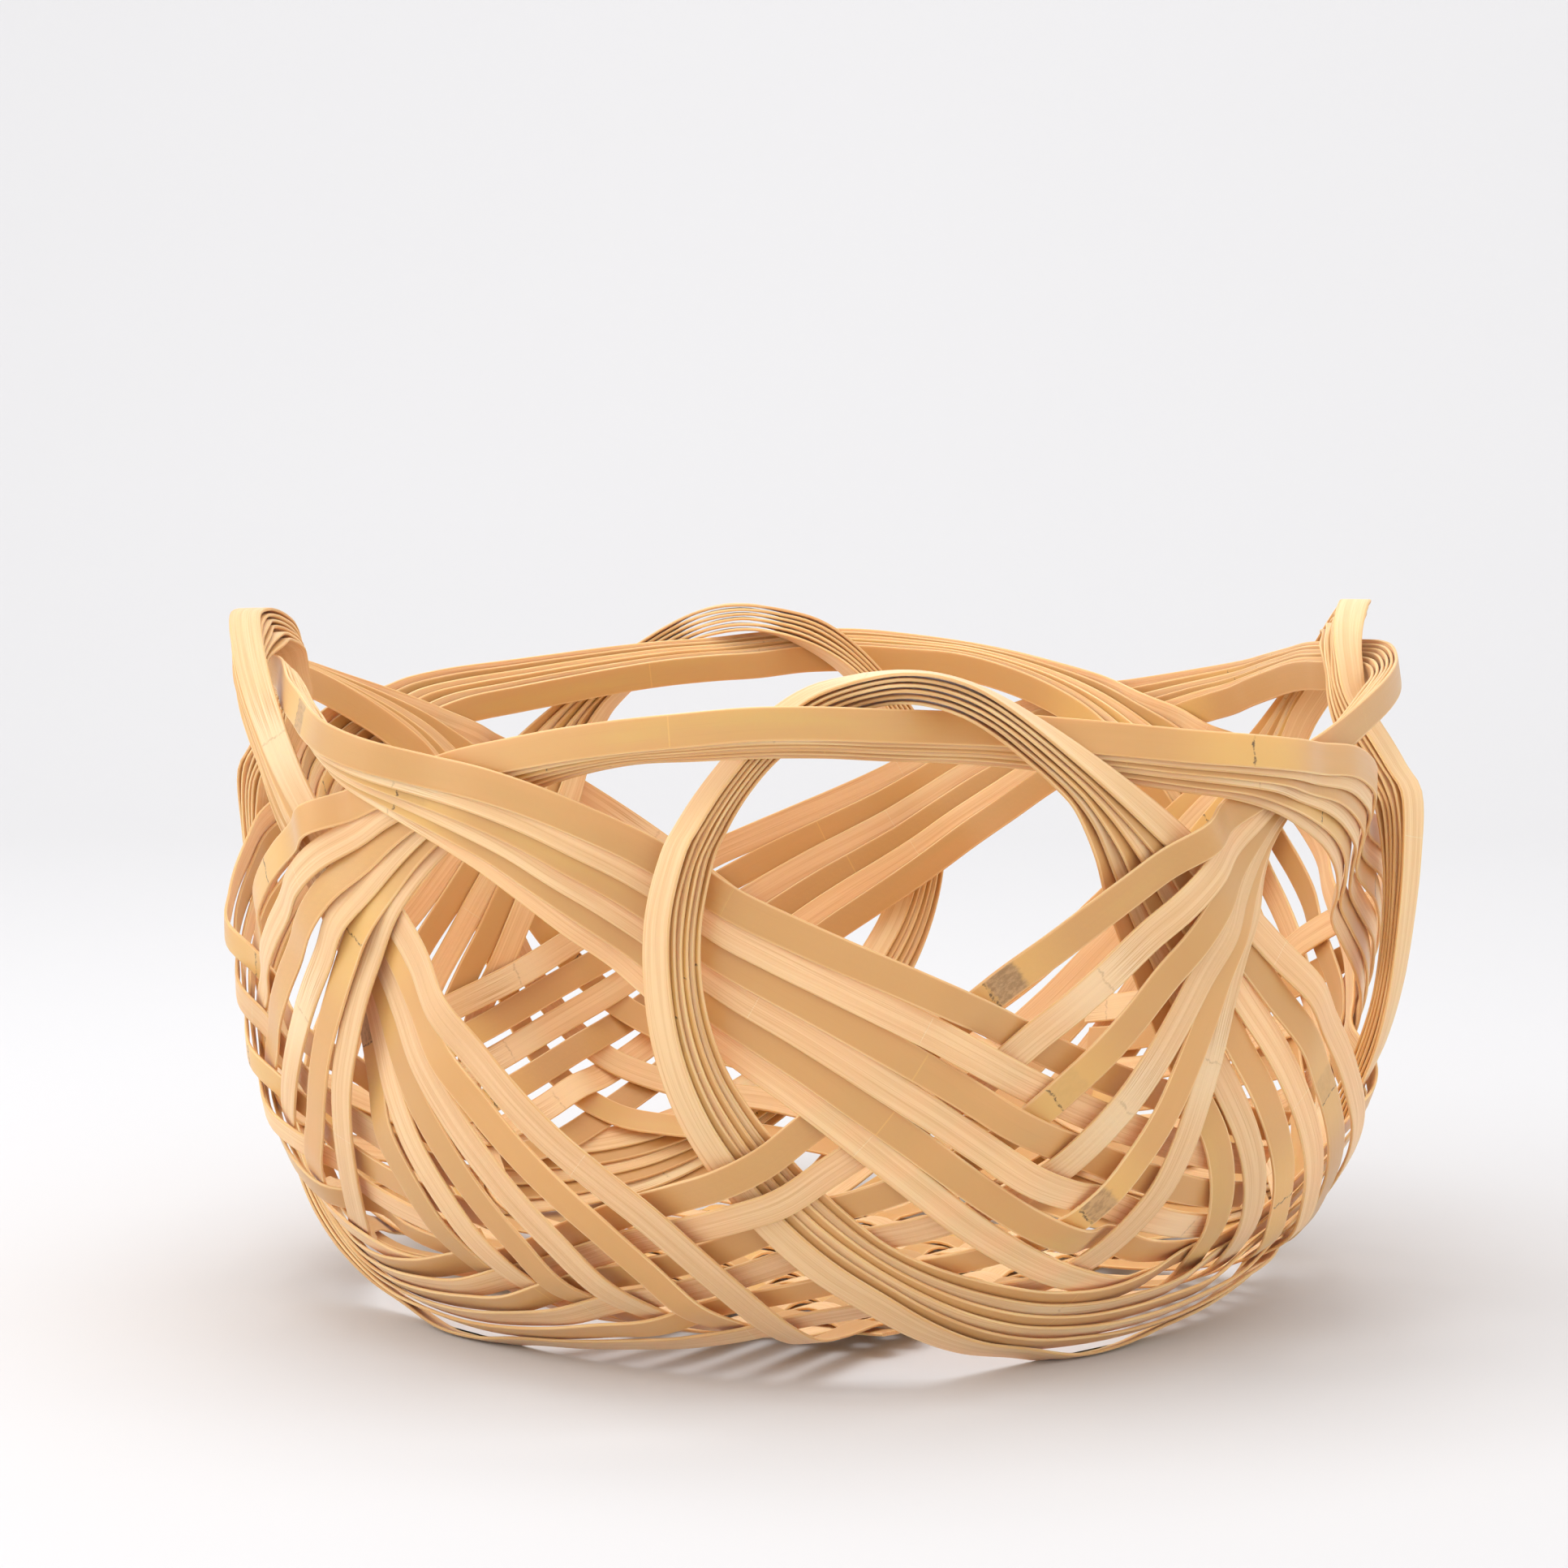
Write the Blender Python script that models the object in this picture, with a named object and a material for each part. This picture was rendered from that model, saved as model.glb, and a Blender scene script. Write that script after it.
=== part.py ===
"""Plaited bamboo basket with four waves: 24 long flat strips in four bundles of six.

Each strip starts in the square mat of the base, rises, loops over its own peak, comes down as a
leg, runs under the bowl as a foot, fans out up the next side, follows half of the rim and ends in
a wide flat band. The four bundles are alike, each a quarter turn after the last.
"""
import math

import bpy
import numpy as np

MM = 0.001

# Strips
STRIP_WIDTH = 7.3 * MM
STRIP_THICKNESS = 0.5 * MM
STRIP_CLEARANCE = 0.50 * MM
STRIPS_PER_BUNDLE = 6
BUNDLE_NAMES = ("front_wave", "right_wave", "back_wave", "left_wave")

# Bowl on whose surface the strips lie
BOWL_RADIUS = 139.7 * MM
RIM_HEIGHT = 155.0 * MM
MAT_HEIGHT = 9.5 * MM
MAT_PITCH = 10.0 * MM
SIDE_PEAK_RISE = 6.0 * MM

# Half outline of the bowl from its centre to its rim: radius share, height share above the mat
BOWL_OUTLINE_SHARES = (
    (0.000, 0.000),
    (0.300, 0.000),
    (0.520, 0.001),
    (0.635, 0.012),
    (0.735, 0.045),
    (0.818, 0.100),
    (0.884, 0.173),
    (0.940, 0.268),
    (0.977, 0.384),
    (0.996, 0.528),
    (1.000, 0.640),
    (0.992, 0.820),
    (0.970, 1.000),
    (0.955, 1.100),
)

# The run of a bundle after the mat: part of the run, azimuth and reach of its right-hand strip,
# azimuth and reach of its left-hand strip, how far each stands off the bowl, and how far both lean
# over towards the outside of the loop. Azimuths are in degrees from the bundle's own peak, reaches
# are shares of the way from the mat's centre to the rim along the bowl, stand-offs are shares of
# the strip width, and leans are in degrees.
MAT, RISE, LOOP, HOOK, LEG, FOOT, FAN, RIM, BAND = range(9)
RUN_SHARES = (
    (RISE, 76.0, 0.452, 48.0, 0.355, 0.0, 0.0, 0.0),
    (RISE, 66.0, 0.560, 41.0, 0.452, 0.0, 0.0, 0.0),
    (RISE, 57.0, 0.629, 37.0, 0.552, 0.0, 0.0, 0.0),
    (RISE, 46.5, 0.722, 32.0, 0.645, -0.3, -0.3, 0.0),
    (RISE, 38.0, 0.798, 27.0, 0.742, -0.4, -0.4, 0.0),
    (RISE, 27.0, 0.875, 20.5, 0.843, 0.2, 0.2, 8.0),
    (LOOP, 18.5, 0.936, 16.3, 0.913, 0.0, 0.0, 34.0),
    (LOOP, 11.0, 0.986, 9.5, 0.966, -0.2, -0.2, 58.0),
    (LOOP, 5.5, 1.016, 4.6, 0.995, -0.4, -0.4, 74.0),
    (HOOK, 0.5, 1.028, 0.5, 1.006, -0.5, -0.5, 80.0),
    (HOOK, -4.5, 1.025, -4.0, 1.003, -0.6, -0.6, 76.0),
    (HOOK, -9.9, 1.010, -8.6, 0.989, -0.7, -0.7, 64.0),
    (HOOK, -14.8, 0.973, -13.4, 0.960, -0.5, -0.5, 52.0),
    (HOOK, -18.3, 0.928, -16.8, 0.920, -0.2, -0.2, 44.0),
    (LEG, -20.8, 0.875, -18.8, 0.873, 0.0, 0.0, 36.0),
    (LEG, -22.0, 0.823, -19.8, 0.821, 0.8, 0.8, 29.0),
    (LEG, -22.0, 0.750, -19.6, 0.752, 1.0, 1.0, 23.0),
    (LEG, -20.6, 0.682, -17.8, 0.690, 0.9, 0.9, 18.0),
    (LEG, -17.5, 0.615, -14.3, 0.630, 0.3, 0.3, 12.0),
    (LEG, -12.2, 0.545, -8.8, 0.566, 0.2, 0.2, 5.0),
    (FOOT, -3.0, 0.480, -1.2, 0.505, 0.6, 0.4, 0.0),
    (FOOT, 10.0, 0.415, 9.0, 0.470, 1.2, 0.6, 0.0),
    (FOOT, 28.0, 0.385, 24.0, 0.454, 1.6, 0.8, 0.0),
    (FOOT, 46.0, 0.389, 43.0, 0.472, 1.2, 0.5, 0.0),
    (FOOT, 62.0, 0.403, 59.0, 0.540, 0.7, 0.2, 0.0),
    (FAN, 77.0, 0.425, 71.0, 0.590, 0.3, 0.0, 0.0),
    (FAN, 90.0, 0.440, 80.0, 0.634, 0.1, 0.0, 0.0),
    (FAN, 101.0, 0.454, 88.0, 0.688, 0.0, 0.0, 0.0),
    (FAN, 110.5, 0.492, 96.5, 0.750, 0.0, 0.0, 0.0),
    (FAN, 117.0, 0.569, 104.5, 0.806, 0.0, 0.0, 0.0),
    (FAN, 120.0, 0.657, 113.0, 0.855, 0.0, 0.0, 0.0),
    (FAN, 124.0, 0.758, 121.0, 0.891, 0.0, -0.3, 0.0),
    (RIM, 130.0, 0.855, 130.0, 0.922, 0.1, 0.1, 0.0),
    (RIM, 139.0, 0.919, 140.0, 0.948, 0.2, 0.2, 0.0),
    (RIM, 152.0, 0.961, 152.0, 0.970, 0.5, 0.5, 0.0),
    (RIM, 165.0, 0.971, 165.0, 0.984, 1.0, 1.0, 0.0),
    (RIM, 175.0, 0.972, 175.0, 0.985, 0.2, 0.2, 0.0),
    (RIM, 187.0, 0.967, 187.0, 0.982, -1.1, -1.1, 0.0),
    (RIM, 198.0, 0.953, 198.0, 0.971, -1.0, -1.0, 0.0),
    (RIM, 208.0, 0.934, 208.0, 0.957, -0.3, -0.3, 0.0),
    (RIM, 218.0, 0.912, 219.0, 0.942, 0.4, 0.4, 0.0),
    (BAND, 230.0, 0.866, 232.0, 0.926, 0.3, 0.4, 0.0),
    (BAND, 240.0, 0.802, 243.0, 0.892, 0.0, 0.2, 0.0),
    (BAND, 250.0, 0.734, 253.0, 0.841, -0.4, -0.3, 0.0),
    (BAND, 260.0, 0.671, 264.0, 0.794, -0.3, -0.2, 0.0),
    (BAND, 270.0, 0.596, 274.0, 0.752, 0.0, 0.0, 0.0),
    (BAND, 279.0, 0.532, 284.0, 0.702, 0.0, 0.0, 0.0),
    (BAND, 290.0, 0.480, 296.0, 0.654, -0.2, -0.2, 0.0),
    (BAND, 303.0, 0.438, 309.0, 0.614, -0.3, -0.3, 0.0),
    (BAND, 309.0, 0.430, 317.0, 0.600, -0.3, -0.3, 0.0),
)

# How finely a strip is cut into flat stretches
MAT_POINTS_PER_CROSSING = 2
MAT_END_SHARE = 0.45
MAT_LEAD_SHARE = 1.5
OUTLINE_CUTS = 30
RUN_CUTS = 24
STEPS = {RISE: 13.0 * MM, LOOP: 8.0 * MM, HOOK: 6.5 * MM, LEG: 15.0 * MM, FOOT: 14.0 * MM,
         FAN: 11.0 * MM, RIM: 14.0 * MM, BAND: 12.5 * MM}

# How far the strips of the mat wave over and under each other
MAT_WAVE_SHARE = 0.8
MAT_WAVE = MAT_WAVE_SHARE * (STRIP_THICKNESS + STRIP_CLEARANCE)

# Settling of the weave: strips that meet are pushed apart, and the rest of each strip follows
CHECK_STEP = STRIP_WIDTH / 3.0
CHECK_RUNGS = 7
CHECK_ALONG_SHARE = 0.6
NEARBY_SHARE = 1.1
SIDE_MARGIN = 0.5 * MM
AHEAD_SHARE = 0.02
SETTLING_ROUNDS = 700
EASING_SHARE = 0.5
STIFFNESS = 2.0
HOLD = 0.004
TINY = 1e-9

# From this share of the rim's height up, the two side peaks are drawn upwards
PEAK_FOOT_SHARE = 0.45

# Colours of the two faces that alternate from strip to strip
SKIN_COLOUR = (0.78, 0.55, 0.27, 1.0)
FIBRE_COLOUR = (0.84, 0.63, 0.38, 1.0)
BAMBOO_ROUGHNESS = 0.45


def clear_scene():
    """Blender's starting cube, camera and light are removed."""
    for item in list(bpy.data.objects):
        bpy.data.objects.remove(item, do_unlink=True)


def bowl_outline():
    """Radius, height and slope of the bowl, tabled along its outline from the centre up."""
    knots = np.array(BOWL_OUTLINE_SHARES)
    radius = knots[:, 0] * BOWL_RADIUS
    height = MAT_HEIGHT + knots[:, 1] * (RIM_HEIGHT - MAT_HEIGHT)
    points = smooth_run(np.column_stack((radius, height)), OUTLINE_CUTS)
    steps = np.linalg.norm(np.diff(points, axis=0), axis=1)
    reach = np.concatenate(([0.0], np.cumsum(steps)))
    slope = np.gradient(points, reach, axis=0)
    slope /= np.linalg.norm(slope, axis=1)[:, None]
    return reach, points, slope


def smooth_run(points, cuts):
    """Points of a smooth curve through the given ones, with the same number between each two."""
    before = 2.0 * points[0] - points[1]
    after = 2.0 * points[-1] - points[-2]
    padded = np.vstack((before, points, after))
    share = np.linspace(0.0, 1.0, cuts, endpoint=False)[:, None]
    pieces = []
    for index in range(1, len(padded) - 2):
        p0, p1, p2, p3 = padded[index - 1:index + 3]
        gap = np.sqrt(np.linalg.norm(np.diff(padded[index - 1:index + 3, :2], axis=0), axis=1))
        gap = np.maximum(gap, TINY)
        start = (p1 - p0) / gap[0] - (p2 - p0) / (gap[0] + gap[1]) + (p2 - p1) / gap[1]
        end = (p2 - p1) / gap[1] - (p3 - p1) / (gap[1] + gap[2]) + (p3 - p2) / gap[2]
        start, end = start * gap[1], end * gap[1]
        square, cube = share ** 2, share ** 3
        pieces.append((2 * cube - 3 * square + 1) * p1 + (cube - 2 * square + share) * start
                      + (3 * square - 2 * cube) * p2 + (cube - square) * end)
    pieces.append(padded[-2:-1])
    return np.vstack(pieces)


REACH, OUTLINE, SLOPE = bowl_outline()
RIM_REACH = np.interp(RIM_HEIGHT, OUTLINE[:, 1], REACH)


def on_bowl(spread):
    """Points of the bowl, and its outward normals, for points of the bowl spread out flat."""
    reach = np.hypot(spread[:, 0], spread[:, 1])
    safe = np.maximum(reach, TINY)
    east, north = spread[:, 0] / safe, spread[:, 1] / safe
    past = np.maximum(reach - REACH[-1], 0.0)
    radius = np.interp(reach, REACH, OUTLINE[:, 0]) + past * SLOPE[-1, 0]
    height = np.interp(reach, REACH, OUTLINE[:, 1]) + past * SLOPE[-1, 1]
    run = np.interp(reach, REACH, SLOPE[:, 0])
    climb = np.interp(reach, REACH, SLOPE[:, 1])
    points = np.column_stack((radius * east, radius * north, height))
    normals = np.column_stack((climb * east, climb * north, -run))
    return points, normals


def strip_plan(index):
    """One strip of the front bundle on the spread-out bowl: place, kind, stand-off and lean."""
    share = index / (STRIPS_PER_BUNDLE - 1)
    away = MAT_PITCH * (STRIPS_PER_BUNDLE - index - 0.5)
    along = np.array((1.0, -1.0)) / math.sqrt(2.0)
    aside = np.array((1.0, 1.0)) / math.sqrt(2.0)
    half = MAT_PITCH * STRIPS_PER_BUNDLE
    count = 2 * STRIPS_PER_BUNDLE * MAT_POINTS_PER_CROSSING
    first = MAT_PITCH / MAT_POINTS_PER_CROSSING / 2.0
    travel = np.linspace(first - half, half - first, count)
    travel = np.concatenate(([first - half - MAT_END_SHARE * MAT_PITCH], travel))
    mat = away * aside + travel[:, None] * along
    knots = [away * aside + (half - MAT_LEAD_SHARE * MAT_PITCH) * along, mat[-1]]
    kinds = [RISE, RISE]
    offs = [0.0, 0.0]
    leans = [0.0, 0.0]
    for kind, right, right_reach, left, left_reach, right_off, left_off, lean in RUN_SHARES:
        ends = []
        for azimuth, reach_share in ((right, right_reach), (left, left_reach)):
            turn = math.radians(azimuth)
            reach = reach_share * RIM_REACH
            ends.append(np.array((reach * math.sin(turn), -reach * math.cos(turn))))
        knots.append((1.0 - share) * ends[0] + share * ends[1])
        kinds.append(kind)
        offs.append(STRIP_WIDTH * ((1.0 - share) * right_off + share * left_off))
        leans.append(math.radians(lean))
    fine = smooth_run(np.column_stack((np.array(knots), offs, leans)), RUN_CUTS)
    last = len(kinds) - 1
    kind_fine = np.array([kinds[min(place // RUN_CUTS, last)] for place in range(len(fine))])
    fine, kind_fine = fine[RUN_CUTS:], kind_fine[RUN_CUTS:]
    solid, _ = on_bowl(fine[:, :2])
    gap = np.linalg.norm(np.diff(solid, axis=0), axis=1)
    step = np.array([STEPS[kind] for kind in kind_fine[:-1]])
    pace = np.concatenate(([0.0], np.cumsum(gap / step)))
    stops = np.linspace(0.0, pace[-1], int(round(pace[-1])) + 1)[1:]
    chosen = np.column_stack([np.interp(stops, pace, fine[:, axis]) for axis in range(4)])
    kind_chosen = kind_fine[np.searchsorted(pace, stops - TINY) - 1]
    plan = np.vstack((mat, chosen[:, :2]))
    kind = np.concatenate((np.full(len(mat), MAT), kind_chosen))
    crossing = np.arange(len(mat) - 1) // MAT_POINTS_PER_CROSSING
    outside = np.where((crossing + index) % 2 == 0, 1.0, -1.0)
    mat_off = MAT_WAVE * np.concatenate((outside[:1], outside))
    off = np.concatenate((mat_off, chosen[:, 2]))
    lean = np.concatenate((np.zeros(len(mat)), chosen[:, 3]))
    return plan, kind, off, lean


def outer_sign(kind_a, index_a, kind_b, index_b, turns):
    """+1 where strip a lies outside strip b, -1 where it lies inside; b is turns bundles on."""
    if kind_a > kind_b:
        return -outer_sign(kind_b, index_b, kind_a, index_a, (-turns) % 4)
    pair = (kind_a, kind_b)
    if kind_a == MAT:
        return -1
    if pair in ((RISE, FAN), (RISE, FOOT)):
        if turns == 0:
            return 1 if index_b >= index_a else -1
        return -1
    if kind_a == RISE:
        return -1 if kind_b in (LEG, HOOK) else 1
    if kind_a == LOOP:
        return 1
    if kind_a in (LEG, FOOT) and kind_b in (FOOT, FAN):
        return -1 if index_b >= STRIPS_PER_BUNDLE - 2 else 1
    if kind_a in (HOOK, LEG) and kind_b == RIM:
        return -1
    if kind_a in (HOOK, LEG, FOOT):
        return 1
    if pair == (FAN, BAND):
        return -1 if index_a >= index_b else 1
    if kind_a == FAN:
        return -1
    if kind_a == kind_b:
        return 1 if turns == 1 else -1
    return -1


def frames(points, normals):
    """Directions along and across a strip, and out of its face, at each of its points."""
    ahead = np.gradient(points, axis=0)
    ahead /= np.linalg.norm(ahead, axis=1)[:, None]
    across = np.cross(normals, ahead)
    across /= np.linalg.norm(across, axis=1)[:, None]
    return ahead, across, np.cross(ahead, across)


def weave_samples(plans):
    """Close-set places along the six strips, each tied to the two points it lies between."""
    rows = []
    start = 0
    for index, (plan, kind, _, lean) in enumerate(plans):
        base, _ = on_bowl(plan)
        gaps = np.linalg.norm(np.diff(base, axis=0), axis=1)
        for place in range(len(plan) - 1):
            cuts = max(1, int(math.ceil(gaps[place] / CHECK_STEP)))
            run = plan[place + 1] - plan[place]
            for cut in range(cuts):
                spot = plan[place] + run * cut / cuts
                chord = base[place] + (base[place + 1] - base[place]) * cut / cuts
                tilt = lean[place] + (lean[place + 1] - lean[place]) * cut / cuts
                rows.append((*spot, *run, kind[place], index, start + place, cut / cuts, *chord,
                             tilt))
        start += len(plan)
    rows = np.array(rows)
    points, normals = on_bowl(rows[:, :2])
    ahead = on_bowl(rows[:, :2] + rows[:, 2:4] * AHEAD_SHARE)[0] - points
    ahead /= np.linalg.norm(ahead, axis=1)[:, None]
    across = np.cross(normals, ahead)
    kinds, owners, first = (rows[:, column].astype(int) for column in (4, 5, 6))
    chords = rows[:, 8:11]
    sag = np.einsum("ij,ij->i", chords - points, normals)
    return points, across, ahead, chords, kinds, owners, first, rows[:, 7], sag, rows[:, 11]


def turned(vectors, turns):
    """The same vectors after a number of quarter turns about the basket's axis."""
    for _ in range(turns):
        vectors = np.column_stack((-vectors[:, 1], vectors[:, 0], vectors[:, 2]))
    return vectors


def meetings(samples):
    """Pairs of places where two strips cover each other, with which of the two lies outside, how
    much of their difference in stand-off parts them, and how far apart their lean leaves them."""
    points, across, _, chords, kinds, owners, _, _, sag, lean = samples
    ladder = np.linspace(-0.5, 0.5, CHECK_RUNGS) * STRIP_WIDTH
    order = np.arange(len(points))
    found = []
    for turns in range(4):
        fields = (turned(field, turns) for field in samples[:4])
        other, other_across, other_ahead, other_chords = fields
        for index in range(STRIPS_PER_BUNDLE):
            mine = order[owners == index]
            gap = np.linalg.norm(points[mine][:, None, :] - other[None, :, :], axis=2)
            here, there = np.nonzero(gap < STRIP_WIDTH * NEARBY_SHARE)
            here = mine[here]
            same_strip = (turns == 0) & (owners[here] == owners[there])
            close_by = np.abs(here - there) * CHECK_STEP < 2.0 * STRIP_WIDTH
            clear = ~(same_strip & close_by)
            clear &= ~((kinds[here] == MAT) & (kinds[there] == MAT))
            here, there = here[clear], there[clear]
            low = np.full(len(here), np.inf)
            high = np.full(len(here), -np.inf)
            flat_a, flat_b = np.cos(lean[here]), np.cos(lean[there])
            steep_a, steep_b = np.sin(lean[here]), np.sin(lean[there])
            for rung in ladder:
                arrow = points[here] + (rung * flat_a)[:, None] * across[here] - other[there]
                aside = np.einsum("ij,ij->i", arrow, other_across[there])
                along = np.abs(np.einsum("ij,ij->i", arrow, other_ahead[there]))
                beside = np.abs(aside) < STRIP_WIDTH / 2.0 * flat_b + SIDE_MARGIN
                covered = beside & (along < CHECK_STEP * CHECK_ALONG_SHARE)
                place = np.clip(aside / flat_b, -STRIP_WIDTH / 2.0, STRIP_WIDTH / 2.0)
                lead = rung * steep_a - place * steep_b
                low = np.where(covered, np.minimum(low, lead), low)
                high = np.where(covered, np.maximum(high, lead), high)
            aside = np.einsum("ij,ij->i", chords[here] - other_chords[there], other_across[there])
            for pick in np.nonzero(np.isfinite(low))[0]:
                a, b = here[pick], there[pick]
                sign, alike = pair_sign(kinds, owners, a, b, turns)
                if alike:
                    gain = flat_b[pick]
                    lead = gain * (sag[a] - sag[b]) - steep_b[pick] * aside[pick]
                else:
                    gain = 1.0
                    lead = sag[a] - sag[b] + (low[pick] if sign > 0 else high[pick])
                found.append((a, b, sign, gain, lead))
    return np.array(found)


def pair_sign(kinds, owners, a, b, turns):
    """Which strip lies outside, and whether the two run side by side in one bundle."""
    kind_a, kind_b = int(kinds[a]), int(kinds[b])
    if turns == 0 and owners[a] != owners[b] and abs(kind_a - kind_b) <= 1:
        right_is_outer = min(kind_a, kind_b) <= FOOT
        lower_index = owners[a] < owners[b]
        return (1 if lower_index == right_is_outer else -1), True
    return outer_sign(kind_a, int(owners[a]), kind_b, int(owners[b]), turns), False


def settle(plans):
    """How far each point of the six strips stands off the bowl, so that no two strips meet."""
    samples = weave_samples(plans)
    pairs = meetings(samples)
    first, share = samples[6:8]
    held = np.concatenate([kind == MAT for _, kind, _, _ in plans])
    wish = np.concatenate([off for _, _, off, _ in plans])
    bounds = np.cumsum([0] + [len(plan) for plan, _, _, _ in plans])
    height = wish.copy()
    a, b = pairs[:, 0].astype(int), pairs[:, 1].astype(int)
    sign, gain, lead = pairs[:, 2], pairs[:, 3], pairs[:, 4]
    need = STRIP_THICKNESS + STRIP_CLEARANCE
    for round_number in range(SETTLING_ROUNDS):
        fine = (1.0 - share) * height[first] + share * height[first + 1]
        short = need - sign * (gain * (fine[a] - fine[b]) + lead)
        push = 0.5 * np.maximum(short, 0.0) * sign / gain
        move = np.zeros((2, len(fine)))
        for side, pick in ((0, np.maximum), (1, np.minimum)):
            pick.at(move[side], a, push)
            pick.at(move[side], b, -push)
        pull = np.zeros((2, len(height)))
        for side, pick in ((0, np.maximum), (1, np.minimum)):
            pick.at(pull[side], first, (1.0 - share) * move[side])
            pick.at(pull[side], first + 1, share * move[side])
        height = np.where(held, wish, height + pull.sum(axis=0))
        passed = (round_number + 1) / (EASING_SHARE * SETTLING_ROUNDS)
        ease = STIFFNESS * max(0.0, 1.0 - passed) ** 2
        for start, end in zip(bounds[:-1], bounds[1:]):
            if ease > 0.0:
                height[start:end] = eased(height[start:end], wish[start:end], ease)
            height = np.where(held, wish, height)
    return [height[start:end] for start, end in zip(bounds[:-1], bounds[1:])]


def eased(height, wish, ease):
    """Stand-offs of a strip smoothed along its run, as a springy strip would take them."""
    size = len(height)
    bend = np.diff(np.eye(size), 2, axis=0)
    matrix = (1.0 + HOLD) * np.eye(size) + ease * bend.T @ bend
    return np.linalg.solve(matrix, height + HOLD * wish)


def raise_side_peaks(points):
    """The left and right peaks stand higher than the front and back ones."""
    foot = PEAK_FOOT_SHARE * RIM_HEIGHT
    share = np.clip((points[:, 2] - foot) / (RIM_HEIGHT - foot), 0.0, None)
    flank = points[:, 0] ** 2 / (points[:, 0] ** 2 + points[:, 1] ** 2 + TINY)
    raised = points.copy()
    raised[:, 2] += SIDE_PEAK_RISE * share ** 2 * flank ** 3
    return raised


def strip_corners(plan, stand_off, lean):
    """The four corners of each cut across a strip, which leans over where the bundle loops."""
    base, normals = on_bowl(plan)
    points = base + stand_off[:, None] * normals
    _, across, out = frames(points, normals)
    flat, steep = np.cos(lean)[:, None], np.sin(lean)[:, None]
    across, out = flat * across + steep * out, flat * out - steep * across
    half_width, half_thick = STRIP_WIDTH / 2.0, STRIP_THICKNESS / 2.0
    rows = [points + side * half_width * across + face * half_thick * out
            for side, face in ((1, 1), (1, -1), (-1, -1), (-1, 1))]
    return np.stack(rows, axis=1)


def seated(corners):
    """The lowest stretch of a strip, cut level along its outer face so that it can be stood on."""
    outer = corners[:, (0, 3), 2]
    place = int(np.argmin(outer[:-1].mean(axis=1) + outer[1:].mean(axis=1)))
    level = outer[place:place + 2].min()
    flat = corners.copy()
    flat[place:place + 2, (0, 3), 2] = level
    flat[place:place + 2, (1, 2), 2] = level + STRIP_THICKNESS
    return flat


def strip_mesh(name, points):
    """A closed strip with four corners at each cut and a flat face at each end."""
    count = len(points) // 4
    faces = [(0, 1, 2, 3)]
    for place in range(count - 1):
        for corner in range(4):
            after = (corner + 1) % 4
            faces.append((4 * place + after, 4 * place + corner,
                          4 * place + 4 + corner, 4 * place + 4 + after))
    last = 4 * (count - 1)
    faces.append((last + 3, last + 2, last + 1, last))
    mesh = bpy.data.meshes.new(name)
    mesh.from_pydata(points.tolist(), [], faces)
    mesh.update()
    return mesh


def bamboo(name, colour):
    """Plain bamboo in one colour."""
    material = bpy.data.materials.new(name)
    material.use_nodes = True
    shader = material.node_tree.nodes["Principled BSDF"]
    shader.inputs["Base Color"].default_value = colour
    shader.inputs["Roughness"].default_value = BAMBOO_ROUGHNESS
    shader.inputs["Metallic"].default_value = 0.0
    return material


def build_basket():
    """Six settled strips, placed four times round the basket and stood on the floor."""
    clear_scene()
    skin = bamboo("bamboo_skin_side", SKIN_COLOUR)
    fibre = bamboo("bamboo_inner_side", FIBRE_COLOUR)
    plans = [strip_plan(index) for index in range(STRIPS_PER_BUNDLE)]
    stand_offs = settle(plans)
    strips = [strip_corners(plan, stand_off, lean)
              for (plan, _, _, lean), stand_off in zip(plans, stand_offs)]
    strips[0] = seated(strips[0])
    floor = min(float(corners[:, :, 2].min()) for corners in strips)
    for turns, bundle in enumerate(BUNDLE_NAMES):
        for index, corners in enumerate(strips):
            placed = raise_side_peaks(turned(corners.reshape(-1, 3), turns))
            placed[:, 2] -= floor
            name = f"{bundle}_strip_{index + 1}"
            mesh = strip_mesh(name, placed)
            mesh.materials.append(skin if index % 2 else fibre)
            bpy.context.scene.collection.objects.link(bpy.data.objects.new(name, mesh))


build_basket()
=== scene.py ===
"""Plaited bamboo basket with four waves, dressed for a studio photograph.

Each of the 24 bamboo strips follows the middle line of its solid strip in the frame. Geometry
Nodes sweep a thin section with rounded edges along it, and the bamboo's skin, inner fibres and
growth nodes come from how far along and across the strip a point lies.
"""
import itertools
import math
import random

import bpy
import numpy as np
from mathutils import Matrix, Vector


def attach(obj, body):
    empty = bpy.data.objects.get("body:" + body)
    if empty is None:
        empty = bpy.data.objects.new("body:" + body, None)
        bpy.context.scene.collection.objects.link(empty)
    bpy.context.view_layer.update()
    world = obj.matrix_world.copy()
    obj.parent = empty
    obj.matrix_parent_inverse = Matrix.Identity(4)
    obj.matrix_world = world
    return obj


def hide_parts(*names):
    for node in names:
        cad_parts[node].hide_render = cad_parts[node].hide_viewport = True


bl_info = {
    "name": "Plaited bamboo basket",
    "version": (1, 0, 0),
    "blender": (4, 5, 0),
    "location": "View3D > Sidebar > Basket",
    "description": "Builds the bamboo strips of a plaited basket and its studio stage",
    "category": "Object",
}

MM = 0.001
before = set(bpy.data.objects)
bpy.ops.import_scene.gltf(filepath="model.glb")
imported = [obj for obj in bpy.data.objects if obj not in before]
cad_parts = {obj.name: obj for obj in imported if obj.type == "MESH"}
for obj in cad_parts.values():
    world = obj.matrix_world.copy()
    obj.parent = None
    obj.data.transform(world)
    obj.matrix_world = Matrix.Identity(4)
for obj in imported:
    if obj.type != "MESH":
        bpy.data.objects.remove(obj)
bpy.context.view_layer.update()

BUNDLES = ("front_wave", "right_wave", "back_wave", "left_wave")
STRIPS_PER_BUNDLE = 6

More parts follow.
